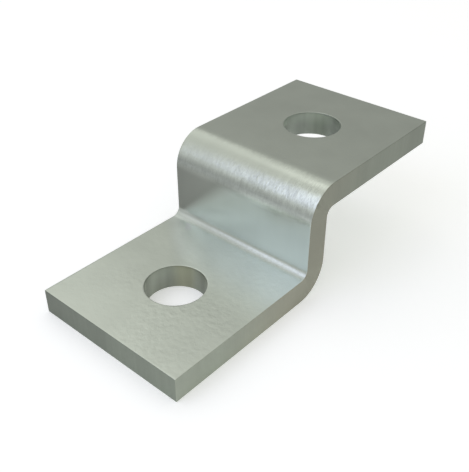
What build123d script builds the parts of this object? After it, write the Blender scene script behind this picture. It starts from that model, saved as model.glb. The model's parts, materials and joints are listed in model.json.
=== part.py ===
from build123d import *
import os

# A Z bracket for strut channel: one strip of flat steel, folded twice, with a bolt hole in each leg.
# The lower leg is bolted down, and the upper leg clamps a channel that lies under it, against the web.
# The origin is on the lower hole's axis, in the plane that the lower leg sits on. +X runs from the lower
# leg towards the upper one, +Y runs across the strip and +Z is up.

# Sizes in millimetres
plate_width = 40
plate_thickness = 6
inside_bend_radius = 2
channel_height = 21  # from the plane under the lower leg to the underside of the upper leg
lower_leg_length = 41  # from the free end to the face of the web
upper_leg_length = 41  # from the back of the web to the free end
hole_diameter = 14  # clears an M12 bolt
lower_hole_to_end = 20
upper_hole_to_end = 20
edge_rounding = 0.2  # what tumbling and the zinc coat leave on the sheared and punched edges

# Stations along X
lower_end_x = -lower_hole_to_end
web_face_x = lower_end_x + lower_leg_length
web_back_x = web_face_x + plate_thickness
upper_end_x = web_back_x + upper_leg_length
upper_hole_x = upper_end_x - upper_hole_to_end

# The plane halfway through the plate's thickness, which the drawing of the folded strip follows
mid_plane_radius = inside_bend_radius + plate_thickness / 2
lower_mid_z = plate_thickness / 2
web_mid_x = (web_face_x + web_back_x) / 2
upper_mid_z = channel_height + plate_thickness / 2

with BuildPart() as z_bracket:
    # The folded strip seen from the side: its mid-plane, given the plate's thickness
    with BuildSketch(Plane.XZ) as side_view:
        with BuildLine() as mid_plane:
            FilletPolyline(
                (lower_end_x, lower_mid_z),
                (web_mid_x, lower_mid_z),
                (web_mid_x, upper_mid_z),
                (upper_end_x, upper_mid_z),
                radius=mid_plane_radius,
            )
        trace(line_width=plate_thickness)
    extrude(amount=plate_width / 2, both=True)
    strip_sides = z_bracket.faces().filter_by(Axis.Y)
    faces_along_strip = z_bracket.faces().group_by(Axis.X)
    strip_ends = faces_along_strip[0] + faces_along_strip[-1]

    # One bolt hole through each leg, on the strip's centre line
    with Locations((0, 0), (upper_hole_x, 0)):
        Hole(radius=hole_diameter / 2)
    hole_rims = z_bracket.edges(Select.LAST).filter_by(GeomType.CIRCLE)

    # Every cut edge is slightly rounded
    fillet(strip_sides.edges() + strip_ends.edges() + hole_rims, radius=edge_rounding)

z_bracket.part.label = "z_bracket"

os.makedirs("parts", exist_ok=True)
export_step(z_bracket.part, "parts/z_bracket.step")
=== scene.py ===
import json
import math
from collections import namedtuple

import bmesh
import bpy
from bpy.props import FloatProperty, FloatVectorProperty, PointerProperty
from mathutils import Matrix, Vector, noise


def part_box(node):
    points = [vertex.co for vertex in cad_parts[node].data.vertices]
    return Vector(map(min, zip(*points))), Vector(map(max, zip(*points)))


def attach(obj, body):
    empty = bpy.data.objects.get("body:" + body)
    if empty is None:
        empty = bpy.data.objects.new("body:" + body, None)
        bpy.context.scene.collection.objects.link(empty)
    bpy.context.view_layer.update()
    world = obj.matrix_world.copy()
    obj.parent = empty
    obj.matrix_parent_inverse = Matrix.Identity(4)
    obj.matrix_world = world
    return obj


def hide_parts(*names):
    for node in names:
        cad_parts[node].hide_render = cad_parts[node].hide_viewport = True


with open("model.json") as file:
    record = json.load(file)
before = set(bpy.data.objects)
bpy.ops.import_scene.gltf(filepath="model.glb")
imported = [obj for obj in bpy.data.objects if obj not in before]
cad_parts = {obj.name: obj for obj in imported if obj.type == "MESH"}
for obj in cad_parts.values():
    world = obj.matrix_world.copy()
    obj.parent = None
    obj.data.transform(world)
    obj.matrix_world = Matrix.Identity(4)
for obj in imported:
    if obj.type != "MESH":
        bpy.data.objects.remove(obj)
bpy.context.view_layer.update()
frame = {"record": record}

bl_info = {
    "name": "Z bracket",
    "version": (1, 0, 0),
    "blender": (4, 5, 0),
    "location": "3D View > Sidebar > Z bracket",
    "description": "Punches and folds a strip of zinc plated steel into a Z bracket, and lights it",
    "category": "Add Mesh",
}

MM = 0.001

# How much smaller than in the record the holes in the photograph measure, by radius
HOLE_SHORTFALL = 0.08 * MM

# The bracket's materials, in the order of its material slots
ROLLED_FACE, BAR_EDGE, SHEARED_END, PUNCHED_HOLE = range(4)

# The flat blank that the bracket is folded from: its length and width, the straight part of each leg, the
# arc of a fold at half the thickness, the web between the folds, and how far the holes are from its start
Blank = namedtuple("Blank", "length width straight arc rise holes")

# A stretch of the strip: its length, the angle it is folded by, how fast the coat's pattern passes along it,
# where 1 is true to size and less draws the pattern out, and its ripples' depth, where 1 is the full depth
Section = namedtuple("Section", "length turn drawn depth")

# The coat at one place: how bright it is, where 1 is its material's own colour, a brightness that is painted
# light and shade, how much rougher it is than its material, and how much of its tint shows, which on the
# rolled faces is a painted blue reflection
PaintedLightAndDullness = namedtuple("PaintedLightAndDullness", "tone dullness film", defaults=(0.0, 0.0))

# Where the bracket's seats and holes are, from its record
mounts = {mount["name"]: mount for mount in frame["record"]["mounts"]}
lower_seat_z = mounts["lower_seat"]["pos_m"][2]
lower_top_z = mounts["lower_washer_face"]["pos_m"][2]
upper_seat_z = mounts["channel_face"]["pos_m"][2]
lower_hole_x = mounts["lower_hole"]["pos_m"][0]
upper_hole_x = mounts["upper_hole"]["pos_m"][0]


def linear_colour(hex_code):
    """The linear red, green and blue of an sRGB hex value."""
    channels = [int(hex_code[start:start + 2], 16) / 255 for start in (1, 3, 5)]
    return [c / 12.92 if c <= 0.04045 else ((c + 0.055) / 1.055) ** 2.4 for c in channels]


class StripSettings(bpy.types.PropertyGroup):
    """The folded strip's sizes, and the look of its zinc."""

    thickness: FloatProperty(
        name="Thickness",
        description="Thickness of the flat bar",
        default=lower_top_z - lower_seat_z,
        unit="LENGTH",
    )
    inside_bend_radius: FloatProperty(
        name="Inside bend radius",
        description="Radius on the inside of both folds",
        default=2 * MM,
        unit="LENGTH",
    )
    hole_radius: FloatProperty(
        name="Hole radius",
        description="Radius of both bolt holes",
        default=mounts["lower_hole"]["dims"]["r_mm"] * MM - HOLE_SHORTFALL,
        unit="LENGTH",
    )
    edge_rounding: FloatProperty(
        name="Edge rounding",
        description="Radius that tumbling and the coat leave on the cut edges",
        default=0.12 * MM,
        unit="LENGTH",
    )
    cell: FloatProperty(
        name="Cell",
        description="Distance between the lines of the mesh",
        default=0.5 * MM,
        unit="LENGTH",
    )
    wave_spacing: FloatProperty(
        name="Wave spacing",
        description="Distance between the waves that rolling leaves in the bar's faces",
        default=2.4 * MM,
        unit="LENGTH",
    )
    wave_height: FloatProperty(
        name="Wave height",
        description="How far those waves dip below the bar's face",
        default=0.008 * MM,
        unit="LENGTH",
    )
    # The ripples and the grain are a few tenths of a millimetre across on the real coat, which is too fine to
    # show at this size, so both are drawn coarser, and deeper to match
    ripple_size: FloatProperty(
        name="Ripple size",
        description="Size of the coat's fine ripples",
        default=1.3 * MM,
        unit="LENGTH",
    )
    ripple_depth: FloatProperty(
        name="Ripple depth",
        description="Depth of the coat's fine ripples",
        default=0.07 * MM,
        unit="LENGTH",
    )
    grain_size: FloatProperty(
        name="Grain size",
        description="Width of the grain that shows where the outside of a fold is stretched",
        default=0.55 * MM,
        unit="LENGTH",
    )
    grain_depth: FloatProperty(
        name="Grain depth",
        description="Depth of that grain",
        default=0.15 * MM,
        unit="LENGTH",
    )
    rolled_roughness: FloatProperty(
        name="Roughness of the rolled faces",
        description="Roughness of the zinc on the rolled faces, where they are smoothest",
        default=0.28,
    )
    cut_roughness: FloatProperty(
        name="Roughness of the cut faces",
        description="Roughness of the zinc on the bar's edges, its sheared ends and in its holes",
        default=0.5,
    )
    rolled_colour: FloatVectorProperty(
        name="Rolled faces",
        description="Colour of the zinc on the bar's rolled faces",
        default=linear_colour("#CBD1C7"),
        subtype="COLOR",
    )
    # Painted reflection: the cold blue mixed into the rolled faces' colour stands in for reflected blue light
    rolled_blue_reflection: FloatVectorProperty(
        name="Film on rolled faces",
        description="Colour of the rolled faces where the passivation film looks bluest",
        default=linear_colour("#CAD1CB"),
        subtype="COLOR",
    )
    # Painted shade: the bar's edges, the sheared ends and the holes have colours darker than the rolled
    # faces', in place of the darker reflections that these faces show
    bar_edge_colour: FloatVectorProperty(
        name="Bar's edges",
        description="Colour of the zinc on the bar's two narrow sides",
        default=linear_colour("#969C90"),
        subtype="COLOR",
    )
    # A faint yellow tint, mixed into the bar's edges about the web
    bar_edge_tint: FloatVectorProperty(
        name="Film on bar's edges",
        description="Colour of the narrow sides where the passivation film looks yellowest",
        default=linear_colour("#9D9D8F"),
        subtype="COLOR",
    )
    sheared_colour: FloatVectorProperty(
        name="Sheared ends",
        description="Colour of the dull zinc on the two sheared ends",
        default=linear_colour("#878E83"),
        subtype="COLOR",
    )
    punched_colour: FloatVectorProperty(
        name="Holes",
        description="Colour of the zinc in the punched holes",
        default=linear_colour("#A1A89F"),
        subtype="COLOR",
    )
    # A faint yellow tint, mixed into the lower hole
    punched_tint: FloatVectorProperty(
        name="Film in holes",
        description="Colour of the holes where the passivation film looks yellowest",
        default=linear_colour("#A3A693"),
        subtype="COLOR",
    )


class StudioSettings(bpy.types.PropertyGroup):
    """The floor, the lights and the camera."""

    floor_colour: FloatVectorProperty(
        name="Floor",
        description="Colour of the floor",
        default=linear_colour("#FFFFFF"),
        subtype="COLOR",
    )
    floor_lift: FloatProperty(
        name="Floor lift",
        description="How much brighter the camera and reflections see the floor, where 1 is white",
        default=0.3,
    )
    dome_colour: FloatVectorProperty(
        name="Dome",
        description="Colour of the soft light overhead",
        default=linear_colour("#E4E5E1"),
        subtype="COLOR",
    )
    horizon_colour: FloatVectorProperty(
        name="Horizon",
        description="Colour of the soft light low down",
        default=linear_colour("#A7A8A5"),
        subtype="COLOR",
    )
    softbox_colour: FloatVectorProperty(
        name="Softbox colour",
        description="Colour of the softbox on the left",
        default=linear_colour("#C5CCFB"),
        subtype="COLOR",
    )
    softbox_brightness: FloatProperty(
        name="Softbox brightness",
        description="How bright that softbox looks, where 1 is white",
        default=0.92,
    )
    camera_place: FloatVectorProperty(
        name="Camera",
        description="Where the camera stands, from the lower hole",
        default=(-82.011 * MM, -89.288 * MM, 102.727 * MM),
        subtype="TRANSLATION",
    )
    camera_dip: FloatProperty(
        name="Camera dip",
        description="How far below level the camera looks",
        default=math.radians(34.791),
        unit="ROTATION",
    )
    camera_heading: FloatProperty(
        name="Camera heading",
        description="Which way the camera looks, counterclockwise from +Y",
        default=math.radians(-48.645),
        unit="ROTATION",
    )
    lens: FloatProperty(
        name="Lens",
        description="Focal length, for a picture whose long side is 36 mm",
        default=53.9,
        unit="CAMERA",
    )


def add_node(tree, kind, inputs=None, **settings):
    """Adds a shader node, sets its properties and fills its inputs. Each input takes a value, or a link to an
    output of another node, where a node itself stands for its first output."""
    node = tree.nodes.new(kind)
    for name, value in settings.items():
        setattr(node, name, value)
    for name, value in (inputs or {}).items():
        if isinstance(value, bpy.types.Node):
            value = value.outputs[0]
        if isinstance(value, bpy.types.NodeSocket):
            tree.links.new(value, node.inputs[name])
        else:
            node.inputs[name].default_value = value
    return node


def add_object(name, data):
    """Adds an object to the scene."""
    piece = bpy.data.objects.new(name, data)
    bpy.context.scene.collection.objects.link(piece)
    return piece


def new_material(name):
    """A material with its node tree emptied."""
    material = bpy.data.materials.new(name)
    material.use_nodes = True
    material.node_tree.nodes.clear()
    return material


def coat_relief(tree, place, stretch, strip, ripple_scale):
    """Adds the coat's relief, and returns its ripples, its grain and the normal that they give together."""

    # Shallow ripples, which come and go in patches
    patch_size = 14 * MM
    calm, lively = 0.35, 0.6
    calmest = 0.4
    ripples = add_node(
        tree,
        "ShaderNodeTexNoise",
        {"Vector": place, "Scale": 1 / (strip.ripple_size * ripple_scale), "Detail": 2.0, "Roughness": 0.6},
    )
    patches = add_node(tree, "ShaderNodeTexNoise", {"Vector": place, "Scale": 1 / patch_size, "Detail": 1.0})
    strength = add_node(
        tree,
        "ShaderNodeMapRange",
        {"Value": patches, "From Min": calm, "From Max": lively, "To Min": calmest, "To Max": 1.0},
    )
    depth = add_node(tree, "ShaderNodeAttribute", attribute_name="coat_depth").outputs["Fac"]
    depth = add_node(tree, "ShaderNodeMath", {0: depth, 1: strength}, operation="MULTIPLY")
    height = add_node(tree, "ShaderNodeMath", {0: ripples, 1: depth}, operation="MULTIPLY")
    rippled = add_node(tree, "ShaderNodeBump", {"Height": height, "Distance": strip.ripple_depth})

    # The finer grain of a fold. The coat's pattern is drawn out along a fold, and this brings the grain most
    # of the way back.
    shortened = 2.7
    grain_place = add_node(tree, "ShaderNodeMapping", {"Vector": place, "Scale": (shortened, 1.0, 1.0)})
    grain = add_node(
        tree,
        "ShaderNodeTexNoise",
        {"Vector": grain_place, "Scale": 1 / strip.grain_size, "Detail": 3.0, "Roughness": 0.75},
    )
    height = add_node(tree, "ShaderNodeMath", {0: grain, 1: stretch}, operation="MULTIPLY")
    relief = add_node(
        tree,
        "ShaderNodeBump",
        {"Height": height, "Distance": strip.grain_depth, "Normal": rippled},
    )
    return ripples, grain, relief


def coat_tone(tree, place, stretch, ripples, grain, cloudiness, streaks, painted_edge_highlight):
    """Adds how bright the coat is, where 1 is its own colour: the tone that the mesh asks for, which is
    painted light and shade, with faint clouds, bands down a cut face, and a painted highlight on rounded
    edges that face up."""
    tone = add_node(tree, "ShaderNodeAttribute", attribute_name="coat_tone").outputs["Fac"]
    cloud_size = 9 * MM
    dark, light = 0.3, 0.7
    clouds = add_node(tree, "ShaderNodeTexNoise", {"Vector": place, "Scale": 1 / cloud_size, "Detail": 3.0})

    # Each pattern, the range of it that counts, and what it multiplies the tone by at both ends of that
    shades = [(clouds, dark, light, 1 - cloudiness, 1 + cloudiness)]
    if streaks:
        dark_streak, light_streak = 0.35, 0.65
        shades.append((ripples, dark_streak, light_streak, 1 - streaks, 1 + streaks))
    # Painted highlight: rounded edges get brighter as they turn to face up
    if painted_edge_highlight:
        hardly_up, mostly_up = 0.1, 0.7
        normal = add_node(tree, "ShaderNodeNewGeometry").outputs["Normal"]
        upward = add_node(tree, "ShaderNodeSeparateXYZ", {"Vector": normal}).outputs["Z"]
        shades.append((upward, hardly_up, mostly_up, 1.0, 1 + painted_edge_highlight))
    for value, start, end, low, high in shades:
        inputs = {"Value": value, "From Min": start, "From Max": end, "To Min": low, "To Max": high}
        shade = add_node(tree, "ShaderNodeMapRange", inputs)
        tone = add_node(tree, "ShaderNodeMath", {0: tone, 1: shade}, operation="MULTIPLY")

    # Painted glints along the stretched grain
    glint = 0.4
    glints = add_node(
        tree,
        "ShaderNodeMapRange",
        {"Value": grain, "From Min": dark, "From Max": light, "To Min": 1 - glint, "To Max": 1 + glint},
    )
    local_glints = add_node(tree, "ShaderNodeMix", {"Factor": stretch, "A": 1.0, "B": glints})
    return add_node(tree, "ShaderNodeMath", {0: tone, 1: local_glints}, operation="MULTIPLY")


def zinc_plate(
    name,
    colour,
    roughness,
    strip,
    cloudiness,
    streaks=0,
    ripple_scale=1,
    tint_colour=None,
    dulled=False,
    painted_edge_highlight=0,
):
    """Bare zinc plate, with the relief and the tones that the strip's mesh asks for at each place, which hold
    painted light and shade.
    """
    material = new_material(name)
    tree = material.node_tree
    place = add_node(tree, "ShaderNodeAttribute", attribute_name="coat_place").outputs["Vector"]
    stretch = add_node(tree, "ShaderNodeAttribute", attribute_name="coat_stretch").outputs["Fac"]
    ripples, grain, relief = coat_relief(tree, place, stretch, strip, ripple_scale)
    tone = coat_tone(tree, place, stretch, ripples, grain, cloudiness, streaks, painted_edge_highlight)

    # A tint mixed in where the mesh asks for it, on the rolled faces a painted blue reflection, and more
    # roughness in other places
    if tint_colour:
        film = add_node(tree, "ShaderNodeAttribute", attribute_name="coat_film").outputs["Fac"]
        tinted = add_node(
            tree,
            "ShaderNodeMix",
            {"Factor": film, "A": (*colour, 1), "B": (*tint_colour, 1)},
            data_type="RGBA",
        )
        colour = tinted.outputs["Result"]
    if dulled:
        dullness = add_node(tree, "ShaderNodeAttribute", attribute_name="coat_dullness").outputs["Fac"]
        roughness = add_node(tree, "ShaderNodeMath", {0: dullness, 1: roughness}, operation="ADD")
    shaded = add_node(tree, "ShaderNodeVectorMath", {0: colour, "Scale": tone}, operation="SCALE")
    metal = add_node(
        tree,
        "ShaderNodeBsdfPrincipled",
        {"Base Color": shaded, "Metallic": 1.0, "Roughness": roughness, "Normal": relief},
    )
    add_node(tree, "ShaderNodeOutputMaterial", {"Surface": metal})
    return material


def strip_materials(strip):
    """The bracket's four materials, in the order of its slots."""
    return [
        # Electroplated zinc over hot rolled steel. The plate follows the steel, so its satin is soft and
        # broken by shallow ripples, with a cold blue mixed in where the mesh asks for it, a painted
        # reflection.
        zinc_plate(
            "zinc_plate_on_hot_rolled_faces",
            strip.rolled_colour,
            strip.rolled_roughness,
            strip,
            cloudiness=0.035,
            tint_colour=strip.rolled_blue_reflection,
            dulled=True,
        ),
        # The same plate on the bar's own narrow sides, which are rougher and reflect nothing clearly. Their
        # darker colour is painted shade, a faint yellow tint is mixed in about the web, and the rounded edges
        # that face up get a painted highlight.
        zinc_plate(
            "zinc_plate_on_rolled_bar_edges",
            strip.bar_edge_colour,
            strip.cut_roughness,
            strip,
            cloudiness=0.06,
            streaks=0.02,
            tint_colour=strip.bar_edge_tint,
            painted_edge_highlight=0.4,
        ),
        # On the sheared ends the plate has its darkest colour, painted shade, with faint upright marks from
        # the blade, drawn broader than the real ones so that they show
        zinc_plate(
            "zinc_plate_on_sheared_ends",
            strip.sheared_colour,
            strip.cut_roughness,
            strip,
            cloudiness=0.06,
            streaks=0.03,
        ),
        # In the holes the punch leaves upright bands, drawn broader than the real ones too. The holes' darker
        # colour is painted shade, and a faint yellow tint is mixed in, in the lower hole.
        zinc_plate(
            "zinc_plate_in_punched_holes",
            strip.punched_colour,
            strip.cut_roughness,
            strip,
            cloudiness=0.06,
            streaks=0.09,
            ripple_scale=2.6,
            tint_colour=strip.punched_tint,
        ),
    ]


def soft_step(value, start, end):
    """Rises smoothly from 0 at start to 1 at end."""
    part = min(max((value - start) / (end - start), 0), 1)
    return part * part * (3 - 2 * part)


def stripe(value, start, full, fade, end):
    """Rises smoothly from 0 at start to 1 at full, and falls again from fade to 0 at end."""
    return soft_step(value, start, full) * (1 - soft_step(value, fade, end))


def bar_edge_painted_shade(along, height):
    """Painted shade on the bar's narrow sides: darker from the lower leg's free end on, and on that leg
    towards its top. A faint yellow tint shows about the web."""
    near_fold = soft_step(along, 0, 40 * MM)
    past_fold = soft_step(along, 32 * MM, 60 * MM)
    upper_end = soft_step(along, 78 * MM, 105 * MM)
    towards_top = soft_step(height, -3 * MM, 3 * MM) - 0.5
    on_lower_leg = 1 - soft_step(along, 28 * MM, 42 * MM)
    tone = 1.2 - 0.1 * near_fold - 0.15 * towards_top * on_lower_leg - 0.3 * past_fold - 0.07 * upper_end
    return PaintedLightAndDullness(tone, film=stripe(along, 10 * MM, 38 * MM, 50 * MM, 85 * MM))


def sheared_end_painted_shade(across, height, width):
    """Painted shade on a sheared end: darker towards the far side, but for a lighter stretch on the way, and
    slightly darker towards its top."""
    towards_far_side = soft_step(across, -width / 2, width / 2)
    lighter = stripe(across, 1 * MM, 7 * MM, 12 * MM, 18 * MM)
    towards_top = soft_step(height, -3 * MM, 3 * MM)
    return PaintedLightAndDullness((1.03 - 0.37 * towards_far_side + 0.06 * lighter) * (1.04 - 0.08 * towards_top))


def punched_hole_painted_light(bearing, depth, is_lower):
    """A hole's wall, with bands down it and painted light and shade: a dark patch, a dark rim on one side, a
    bright rim on the other, and darker lower down. The bearing is 0 towards the upper leg's free end and
    grows towards the far side."""
    degrees = math.degrees(bearing)
    bands = math.cos(6 * math.radians(degrees - 32))
    painted_dark_patch = math.exp(-(((degrees + 20) / 15) ** 2))
    rim_shade = (1 - soft_step(depth, 0, 0.4 * MM)) * stripe(degrees, -60, -20, 40, 70)
    near_rim = 1 - soft_step(depth, 1.2 * MM, 3 * MM)
    tone = 1.17 + 0.08 * bands - 0.31 * painted_dark_patch - 0.27 * soft_step(depth, 0, 5 * MM) - 0.2 * rim_shade

    # The lower hole gets a faint yellow tint, and the upper one a painted bright band and more painted shade
    # from top to bottom
    if is_lower:
        rim_highlight = near_rim * stripe(degrees, 105, 125, 140, 175)
        return PaintedLightAndDullness(tone + 0.3 * rim_highlight, film=0.3 + 0.7 * stripe(degrees, 0, 20, 35, 60))
    rim_highlight = near_rim * stripe(degrees, 85, 105, 140, 175)
    highlight_band = stripe(degrees, -15, 0, 12, 25)
    shading = 1.1 - 0.22 * soft_step(depth, 0.6 * MM, 3.6 * MM)
    return PaintedLightAndDullness((tone + 0.45 * rim_highlight + 0.12 * highlight_band) * shading)


def lower_leg_painted_light(along, across):
    """The lower leg's top, with painted light: brighter towards the web and in a slanting streak beside the
    hole. It is also duller towards the web, and takes the painted blue reflection there, which ends beyond
    the streak. The brightness fades towards the far side."""
    slant = math.radians(52)
    offset = Vector((along - 35 * MM, across - 10.5 * MM))
    lengthways = offset.dot(Vector((math.cos(slant), math.sin(slant))))
    beyond = offset.dot(Vector((-math.sin(slant), math.cos(slant))))
    from_streak = math.hypot(beyond, 0.21 * lengthways)
    far_side = soft_step(across, 13.5 * MM, 18.5 * MM)
    highlight_streak = (1 - soft_step(from_streak, 0, 5 * MM)) * (1 - far_side)
    near_web = soft_step(along, 17 * MM, 37 * MM)
    near_web *= (1 - 0.65 * soft_step(beyond, 0, 4.5 * MM)) * (1 - 0.7 * far_side)
    at_fold = soft_step(along, 36 * MM, 38.5 * MM)
    return PaintedLightAndDullness(
        0.97 + 0.31 * near_web + 0.06 * at_fold + 0.32 * highlight_streak,
        0.14 * soft_step(along, 12 * MM, 28 * MM),
        soft_step(along, 22 * MM, 32 * MM) * (1 - soft_step(beyond, 2 * MM, 6 * MM)),
    )


def web_painted_light(across, up, past):
    """Painted light and shade on the web, by the height above the lower fold, and on the upper fold and leg,
    by the way past the web.
    """
    in_fold = max(past, 0)

    # A patch in the far upper corner, rougher, and darker as a painted dark reflection, whose slanting side
    # gets softer as it goes up
    softness = 1.2 * MM + 0.25 * max(up, 0) + 3 * in_fold
    into_dark_reflection = across + 1.2 * max(up, 0) + 0.4 * min(up, 0) + 3.7 * in_fold - 17.5 * MM
    dark_reflection_patch = soft_step(into_dark_reflection, -softness, softness)
    dark_reflection_patch *= soft_step(up, -2.2 * MM, 0.2 * MM) * (1 - soft_step(past, 0.2 * MM, 1.8 * MM))
    darkening = 0.57 + 0.09 * soft_step(across, 9 * MM, 20 * MM)

    # Painted shade and light on the rest of the web: darker on the far side, except by the patch, and
    # brightest near the upper fold
    far = soft_step(across, -12 * MM, 6 * MM)
    high = soft_step(past, -5 * MM, 0)
    low = stripe(up, -3.5 * MM, -0.5 * MM, 3.5 * MM, 6.5 * MM)
    near_dark_reflection = soft_step(into_dark_reflection, (5.5 * low - 11) * MM, (2.5 * low - 5) * MM)
    spot_up = stripe(past, -5 * MM, -1 * MM, -1 * MM, 1 * MM)
    spot_across = stripe(across, -14 * MM, -7 * MM, -4 * MM, 4 * MM)
    tone = 0.94 + 0.04 * high * (1 - far) + 0.06 * spot_up * spot_across
    tone -= (0.11 + 0.03 * low) * far * (1 - high) * (1 - near_dark_reflection)

    # Painted highlights: the upper fold has two brighter lines at its near end, and is brighter on its far
    # side as it levels out
    near_end = 1 - soft_step(across, -17.5 * MM, -12.5 * MM)
    first_highlight_line = stripe(past, 3.2 * MM, 3.9 * MM, 4.4 * MM, 5.1 * MM)
    second_highlight_line = stripe(past, 5.6 * MM, 6 * MM, 6.3 * MM, 6.8 * MM)
    tone += (0.18 * first_highlight_line + 0.09 * second_highlight_line) * near_end
    tone += 0.02 * far * soft_step(past, 3 * MM, 7 * MM)

    # A painted highlight line where that fold starts, brightest on the near side, and a band of painted shade
    # past it
    highlight_line = stripe(past, -0.4 * MM, 0.3 * MM, 0.5 * MM, 1.1 * MM)
    lit = 0.25 - 0.2 * near_end - 0.4 * soft_step(across, -6 * MM, 1 * MM)
    lit += 0.22 * soft_step(across, 3 * MM, 12 * MM)
    shade_band = stripe(past, 0.45 * MM, 1.3 * MM, 1.35 * MM, 2.75 * MM)
    shade = 0.41 - 0.06 * near_end
    return PaintedLightAndDullness(
        tone * (1 - darkening * dark_reflection_patch) * (1 + lit * highlight_line) * (1 - shade * shade_band),
        0.1 * dark_reflection_patch,
        (1 - dark_reflection_patch) * (1 - soft_step(past, 2.2 * MM, 3.8 * MM)),
    )


def rolled_face_painted_light(along, across, blank):
    """Painted light and shade on the rolled face that is on top once the strip is folded. The lower leg's
    passes into the web's in the lower fold, where turned goes from 0 to 1."""
    up = along - blank.straight - blank.arc
    past = up - blank.rise
    leg = lower_leg_painted_light(along, across)
    web = web_painted_light(across, up, past)
    turned = 1 + up / blank.arc
    share = soft_step(turned, 0, 0.45)
    tone, dullness, film = (low + (high - low) * share for low, high in zip(leg, web))

    # A painted bright spot at the far end of that fold's start
    spot_along = stripe(turned, -0.15, 0, 0.08, 0.2)
    spot_across = stripe(across, 13.5 * MM, 15.5 * MM, 17 * MM, 18.5 * MM)
    tone += 0.15 * spot_along * spot_across

    # A painted highlight line along the inside of the fold, without the blue tint, with painted shade on both
    # its sides and towards its far end
    fold_highlight = stripe(turned, 0.36, 0.47, 0.53, 0.66)
    below = stripe(turned, 0.04, 0.12, 0.28, 0.4) * (1 - soft_step(across, 0, 10 * MM))
    above = stripe(turned, 0.68, 0.8, 1.0, 1.2)
    far_end = stripe(turned, 0.4, 0.7, 0.85, 1.0) * soft_step(across, 10 * MM, 14 * MM)
    tone *= 1 + 0.04 * fold_highlight - 0.06 * below - 0.06 * above - 0.12 * far_end
    return PaintedLightAndDullness(tone, dullness, film * (1 - fold_highlight))


def grain_strength(part, across, height, section):
    """How much of the grain shows: most where a fold is stretched, and half as much where it is squeezed."""
    strain = -height * section.turn / section.length
    reach = 0.75 + 0.55 * (1 - soft_step(across, -19 * MM, -8 * MM))
    middle = stripe(part, 0, 0.4, 0.4, reach) * (1 - 0.6 * soft_step(across, -6 * MM, 14 * MM))
    first_edge = 0.55 * stripe(part, 0.02, 0.1, 0.2, 0.32)
    full = 0.84 + 0.08 * soft_step(across, -8 * MM, 4 * MM)
    last_edge = 0.4 * stripe(part, full - 0.12, full, 0.96, 1.0)
    return max(strain, -0.5 * strain) * max(middle, first_edge, last_edge)


def blank_sizes(low, high, strip):
    """The blank that folds into the box from low to high."""
    middle_radius = strip.inside_bend_radius + strip.thickness / 2
    straight = (high.x - low.x) / 2 - middle_radius
    arc = middle_radius * math.pi / 2
    rise = upper_seat_z - lower_seat_z - 2 * middle_radius
    length = 2 * straight + 2 * arc + rise
    holes = (lower_hole_x - low.x, length - (high.x - upper_hole_x))
    return Blank(length, high.y - low.y, straight, arc, rise, holes)


def strip_sections(blank):
    """The strip's sections, from the lower leg to the upper one. The coat's pattern is drawn out along the
    folds and the web, so its ripples run straight down them as in stretched steel."""
    quarter = math.pi / 2
    return [
        Section(blank.straight, 0, drawn=1.0, depth=1.0),
        Section(blank.arc, quarter, drawn=0.25, depth=0.4),
        Section(blank.rise, 0, drawn=0.2, depth=0.2),
        Section(blank.arc, -quarter, drawn=0.25, depth=0.4),
        Section(blank.straight, 0, drawn=1.0, depth=0.5),
    ]


def place_in_coat(along, across, height, sections):
    """Where a point lies in the coat's pattern, its section, and how far along that it lies, from 0 to 1.
    The pattern is drawn out down the cut sides, so its bands stand upright there."""
    drawn_upright = 0.1
    drawn_along = 0.0
    for section in sections:
        run = min(along, section.length)
        drawn_along += run * section.drawn
        along -= run
        if along <= 0:
            break
    return (drawn_along, across, drawn_upright * height), section, run / section.length


def fold(along, across, height, sections, start):
    """Where a point of the flat blank lies once the strip is folded."""
    x, z = start
    heading = 0.0
    for section in sections:
        run = min(along, section.length)
        if section.turn:
            radius = section.length / section.turn
            ahead = heading + run / radius
            x += radius * (math.sin(ahead) - math.sin(heading))
            z -= radius * (math.cos(ahead) - math.cos(heading))
            heading = ahead
        else:
            x += run * math.cos(heading)
            z += run * math.sin(heading)
        along -= run
    return Vector((x - height * math.sin(heading), across, z + height * math.cos(heading)))


def stretches(cell, *lengths):
    """Places along a line of these lengths, about a cell apart, with one at the end of each length."""
    places = [0.0]
    for length in lengths:
        start = places[-1]
        steps = round(length / cell)
        places += [start + length * step / steps for step in range(1, steps + 1)]
    return places


def round_off(along, across, radius, core, reach):
    """Draws the square rings of lines round a hole out to circles, less and less up to the ring at reach."""
    ring = max(abs(along), abs(across))
    if ring >= reach or ring == 0:
        return along, across
    if abs(along) == ring:
        angle = math.pi / 4 * across / along
        angle += math.pi if along < 0 else 0
    else:
        angle = math.pi / 2 - math.pi / 4 * along / across
        angle += math.pi if across < 0 else 0
    squareness = (ring - core) / (reach - core)
    ring_radius = radius + (reach - radius) * squareness
    circle = Vector((math.cos(angle), math.sin(angle))) * ring_radius
    return circle.lerp(Vector((along, across)), squareness)


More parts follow.
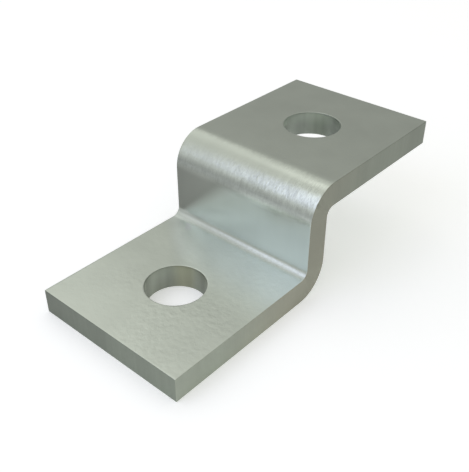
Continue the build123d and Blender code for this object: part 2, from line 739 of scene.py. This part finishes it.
def draw_blank(mesh, blank, strip):
    """Adds the blank's underside, a grid of even cells with a square patch about each hole rounded off."""
    reach = 24 * strip.cell
    core = 11 * strip.cell
    tiny = strip.cell / 100
    end = blank.holes[0] - reach
    leg = [end, 2 * reach, blank.straight - end - 2 * reach]
    side = blank.width / 2 - reach
    columns = stretches(strip.cell, *leg, blank.arc, blank.rise, blank.arc, *reversed(leg))
    rows = [place - blank.width / 2 for place in stretches(strip.cell, side, 2 * reach, side)]

    def from_hole(along):
        """How far past the nearest hole's centre a place along the blank is."""
        return min((along - hole for hole in blank.holes), key=abs)

    grid = {}
    for column, along in enumerate(columns):
        past_hole = from_hole(along)
        for row, across in enumerate(rows):
            if max(abs(past_hole), abs(across)) > core - tiny:
                rounded = round_off(past_hole, across, strip.hole_radius, core, reach)
                corner = (along - past_hole + rounded[0], rounded[1], -strip.thickness / 2)
                grid[column, row] = mesh.verts.new(corner)
    for column in range(len(columns) - 1):
        past_hole = from_hole((columns[column] + columns[column + 1]) / 2)
        for row in range(len(rows) - 1):
            middle = (rows[row] + rows[row + 1]) / 2
            if max(abs(past_hole), abs(middle)) > core:
                corners = [(column, row), (column + 1, row), (column + 1, row + 1), (column, row + 1)]
                mesh.faces.new([grid[corner] for corner in corners])


def thicken_blank(mesh, strip):
    """Gives the blank the plate's thickness, with rows of cells down its cut sides."""
    raised = bmesh.ops.extrude_face_region(mesh, geom=mesh.faces[:])["geom"]
    bmesh.ops.translate(
        mesh,
        verts=[item for item in raised if isinstance(item, bmesh.types.BMVert)],
        vec=(0, 0, strip.thickness),
    )
    upright = [edge for edge in mesh.edges if edge.verts[0].co.z * edge.verts[1].co.z < 0]
    bmesh.ops.subdivide_edges(mesh, edges=upright, cuts=round(strip.thickness / strip.cell) - 1)
    bmesh.ops.recalc_face_normals(mesh, faces=mesh.faces)


def face_kind(face, from_hole, strip):
    """Which of the bracket's materials a face of the blank has."""
    mostly = 0.5
    just_past_wall = strip.hole_radius * 1.1
    if abs(face.normal.z) > mostly:
        return ROLLED_FACE
    if from_hole < just_past_wall:
        return PUNCHED_HOLE
    return BAR_EDGE if abs(face.normal.y) > mostly else SHEARED_END


def set_materials_and_painted_light(mesh, blank, strip):
    """Gives each face of the blank its material, and each of its corners the coat's painted light and shade,
    its dullness and its tint there.
    """
    layers = [mesh.loops.layers.float.new(f"coat_{part}") for part in PaintedLightAndDullness._fields]
    for face in mesh.faces:
        middle = face.calc_center_median()
        hole = min(blank.holes, key=lambda place: abs(place - middle.x))
        kind = face_kind(face, (middle.xy - Vector((hole, 0))).length, strip)
        face.material_index = kind
        face.smooth = True
        for loop in face.loops:
            along, across, height = loop.vert.co
            if kind == BAR_EDGE:
                painted_light = bar_edge_painted_shade(along, height)
            elif kind == SHEARED_END:
                painted_light = sheared_end_painted_shade(across, height, blank.width)
            elif kind == PUNCHED_HOLE:
                bearing = math.atan2(across, along - hole)
                depth = strip.thickness / 2 - height
                painted_light = punched_hole_painted_light(bearing, depth, hole == blank.holes[0])
            elif height > 0:
                painted_light = rolled_face_painted_light(along, across, blank)
            else:
                painted_light = PaintedLightAndDullness(1.0)
            for layer, value in zip(layers, painted_light):
                loop[layer] = value


def fold_blank(mesh, blank, start, strip):
    """Folds the blank from its start, with the waves of the rolled faces, and notes the coat's relief, which
    is shallower on the far side. The waves hardly change with height, so they run straight up the web."""
    drawn_upright = 0.06
    sections = strip_sections(blank)
    coat_place = mesh.verts.layers.float_vector.new("coat_place")
    coat_depth = mesh.verts.layers.float.new("coat_depth")
    coat_stretch = mesh.verts.layers.float.new("coat_stretch")
    skin = strip.thickness / 2 * 0.999
    for vertex in mesh.verts:
        along, across, height = vertex.co
        vertex[coat_place], section, part = place_in_coat(along, across, height, sections)
        far_side = soft_step(across, -5 * MM, 15 * MM)
        vertex[coat_depth] = section.depth * (1.1 - 0.4 * far_side)
        vertex[coat_stretch] = grain_strength(part, across, height, section)
        place = fold(along, across, height, sections, start)
        if abs(height) > skin:
            in_waves = Vector((place.x, place.y, place.z * drawn_upright)) / strip.wave_spacing
            dip = strip.wave_height * (1 - noise.noise(in_waves)) / 2
            place = fold(along, across, height - math.copysign(dip, height), sections, start)
        vertex.co = place


def folded_strip(strip):
    """The bracket's mesh: a flat blank with two holes, as thick as the plate, folded twice."""
    low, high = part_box("z_bracket")
    blank = blank_sizes(low, high, strip)
    mesh = bmesh.new()
    draw_blank(mesh, blank, strip)
    thicken_blank(mesh, strip)
    set_materials_and_painted_light(mesh, blank, strip)
    fold_blank(mesh, blank, (low.x, lower_seat_z + strip.thickness / 2), strip)
    data = bpy.data.meshes.new("folded_strip")
    mesh.to_mesh(data)
    mesh.free()
    return data


class BRACKET_OT_fold_strip(bpy.types.Operator):
    """Punch, fold and plate the strip that is the whole bracket"""

    bl_idname = "bracket.fold_strip"
    bl_label = "Fold the strip"
    bl_options = {"REGISTER", "UNDO"}

    def execute(self, context):
        strip = context.scene.bracket_strip
        piece = add_object("folded_strip", folded_strip(strip))
        for material in strip_materials(strip):
            piece.data.materials.append(material)
        edges = piece.modifiers.new("Edge rounding", "BEVEL")
        edges.width = strip.edge_rounding
        edges.segments = 3
        edges.limit_method = "ANGLE"
        edges.angle_limit = math.radians(40)
        piece.modifiers.new("Even shading", "WEIGHTED_NORMAL")
        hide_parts("z_bracket")
        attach(piece, "root")
        return {"FINISHED"}


def white_card(studio):
    """The floor's material."""

    # Matt white card: an even, shadow-taking white, lifted a little only where it is looked at
    material = new_material("matt_white_card")
    tree = material.node_tree
    card = add_node(tree, "ShaderNodeBsdfDiffuse", {"Color": (*studio.floor_colour, 1)})
    ray = add_node(tree, "ShaderNodeLightPath")
    seen = ray.outputs["Is Camera Ray"]
    for other_ray in ("Is Glossy Ray", "Is Transmission Ray"):
        rays = {0: seen, 1: ray.outputs[other_ray]}
        seen = add_node(tree, "ShaderNodeMath", rays, operation="ADD", use_clamp=True)
    lift = add_node(tree, "ShaderNodeMath", {0: seen, 1: studio.floor_lift}, operation="MULTIPLY")
    glow = add_node(tree, "ShaderNodeEmission", {"Color": (1, 1, 1, 1), "Strength": lift})
    both = add_node(tree, "ShaderNodeAddShader", {0: card, 1: glow})
    add_node(tree, "ShaderNodeOutputMaterial", {"Surface": both})
    return material


def lay_floor(studio):
    """A white floor under the bracket, large enough to be the background too."""
    radius = 2.4
    gap = 0.02 * MM
    mesh = bmesh.new()
    bmesh.ops.create_circle(mesh, cap_ends=True, segments=96, radius=radius)
    data = bpy.data.meshes.new("floor")
    mesh.to_mesh(data)
    mesh.free()
    piece = add_object("floor", data)
    piece.location.z = lower_seat_z - gap
    data.materials.append(white_card(studio))


def sky_direction(bearing, elevation):
    """A unit vector. Bearing is from +Y towards +X, and both angles are in degrees."""
    level = math.cos(math.radians(elevation))
    return Vector(
        (
            math.sin(math.radians(bearing)) * level,
            math.cos(math.radians(bearing)) * level,
            math.sin(math.radians(elevation)),
        )
    )


def raise_dome(studio):
    """Soft light from all round, brighter overhead than near the horizon. The bright part's soft edge lies
    between two angles from its middle."""
    middle = sky_direction(bearing=-55, elevation=66)
    outer_edge = math.cos(math.radians(70.7))
    inner_edge = math.cos(math.radians(53.1))
    world = bpy.data.worlds.new("studio")
    world.use_nodes = True
    tree = world.node_tree
    tree.nodes.clear()
    direction = add_node(tree, "ShaderNodeTexCoord").outputs["Generated"]
    nearness = add_node(tree, "ShaderNodeVectorMath", {0: direction, 1: middle}, operation="DOT_PRODUCT")
    inside = add_node(
        tree,
        "ShaderNodeMapRange",
        {"Value": nearness.outputs["Value"], "From Min": outer_edge, "From Max": inner_edge},
        interpolation_type="SMOOTHSTEP",
    )
    shade = add_node(
        tree,
        "ShaderNodeMix",
        {"Factor": inside, "A": (*studio.horizon_colour, 1), "B": (*studio.dome_colour, 1)},
        data_type="RGBA",
    )
    light = add_node(tree, "ShaderNodeBackground", {"Color": shade.outputs["Result"], "Strength": 1.0})
    add_node(tree, "ShaderNodeOutputWorld", {"Surface": light})
    bpy.context.scene.world = world


def hang_softbox(name, side, bearing, elevation, distance, brightness, colour=(1, 1, 1)):
    """A square lamp aimed at the bracket, in metres and degrees. With a brightness of 1 it looks white."""
    low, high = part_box("z_bracket")
    away = sky_direction(bearing, elevation)
    lamp = bpy.data.lights.new(name, "AREA")
    lamp.shape = "SQUARE"
    lamp.size = side
    lamp.energy = brightness * math.pi * side**2
    lamp.color = colour
    piece = add_object(name, lamp)
    piece.location = (low + high) / 2 + away * distance
    piece.rotation_euler = away.to_track_quat("Z", "Y").to_euler()


def place_camera(studio):
    """The photograph's viewpoint, which was worked out from the bracket's edges in the photograph."""
    data = bpy.data.cameras.new("camera")
    data.lens = studio.lens
    data.sensor_width = 36
    data.clip_start = 1 * MM
    piece = add_object("camera", data)
    piece.location = studio.camera_place
    piece.rotation_euler = (math.pi / 2 - studio.camera_dip, 0, studio.camera_heading)
    bpy.context.scene.camera = piece


class BRACKET_OT_set_stage(bpy.types.Operator):
    """Lay the floor, light the bracket and place the camera"""

    bl_idname = "bracket.set_stage"
    bl_label = "Set the stage"
    bl_options = {"REGISTER", "UNDO"}

    def execute(self, context):
        studio = context.scene.bracket_studio
        lay_floor(studio)
        raise_dome(studio)
        hang_softbox(
            "left_softbox",
            side=0.3,
            bearing=-70,
            elevation=44,
            distance=0.45,
            brightness=studio.softbox_brightness,
            colour=studio.softbox_colour,
        )
        hang_softbox("high_softbox", side=0.12, bearing=28, elevation=63, distance=0.5, brightness=0.6)
        hang_softbox("back_softbox", side=0.2, bearing=20, elevation=38, distance=0.5, brightness=0.2)
        place_camera(studio)
        context.scene.view_settings.view_transform = "Standard"
        return {"FINISHED"}


class BRACKET_PT_sidebar(bpy.types.Panel):
    """Lists the bracket's settings and the buttons that make it"""

    bl_idname = "BRACKET_PT_sidebar"
    bl_label = "Z bracket"
    bl_space_type = "VIEW_3D"
    bl_region_type = "UI"
    bl_category = "Z bracket"

    def draw(self, context):
        for settings in (context.scene.bracket_strip, context.scene.bracket_studio):
            for name in settings.__annotations__:
                self.layout.prop(settings, name)
        self.layout.operator(BRACKET_OT_fold_strip.bl_idname)
        self.layout.operator(BRACKET_OT_set_stage.bl_idname)


CLASSES = (
    StripSettings,
    StudioSettings,
    BRACKET_OT_fold_strip,
    BRACKET_OT_set_stage,
    BRACKET_PT_sidebar,
)


def register():
    """Registers the classes, and gives the scene its settings."""
    for item in CLASSES:
        bpy.utils.register_class(item)
    bpy.types.Scene.bracket_strip = PointerProperty(type=StripSettings)
    bpy.types.Scene.bracket_studio = PointerProperty(type=StudioSettings)


def unregister():
    """Undoes what register does."""
    del bpy.types.Scene.bracket_studio
    del bpy.types.Scene.bracket_strip
    for item in reversed(CLASSES):
        bpy.utils.unregister_class(item)


def main():
    """Makes the bracket and its stage."""
    register()
    bpy.ops.bracket.fold_strip()
    bpy.ops.bracket.set_stage()


if __name__ == "__main__":
    main()
